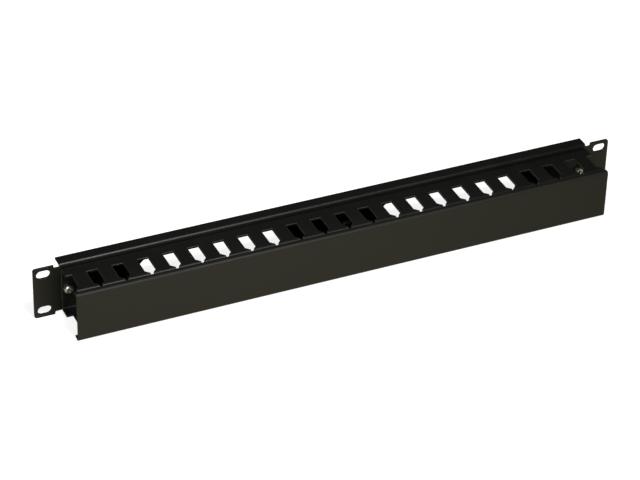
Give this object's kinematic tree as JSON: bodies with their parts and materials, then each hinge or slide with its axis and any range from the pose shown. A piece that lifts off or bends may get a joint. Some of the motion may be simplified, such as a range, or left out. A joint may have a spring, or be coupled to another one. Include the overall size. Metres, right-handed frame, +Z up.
{
  "type": "horizontal cable manager",
  "caption": "One-unit rack panel carrying a slotted folded-steel finger duct with a press-on front cover and two rear cable openings",
  "frame": {"origin": "centre of the rack-hole pattern, on the front face of the panel", "axes": "+X along the rack width to the viewer's right, +Y back into the rack, +Z up; the cover faces -Y"},
  "size_m": [0.481, 0.0496, 0.0436],
  "materials": {
    "powder_coat": "black fine-texture powder coat on folded steel sheet",
    "zinc_plate": "bright zinc-plated steel"
  },
  "bodies": {
    "panel_and_duct": {"rack_panel": "powder_coat", "finger_duct": "powder_coat", "duct_screws": "zinc_plate", "duct_nuts": "zinc_plate"},
    "cover": {"front_cover": "powder_coat"}
  },
  "joints": [
    {"name": "cover_pull", "type": "slide", "parent": "panel_and_duct", "child": "cover", "axis": [0, -1, 0], "range_m": [0, 0.03]}
  ]
}
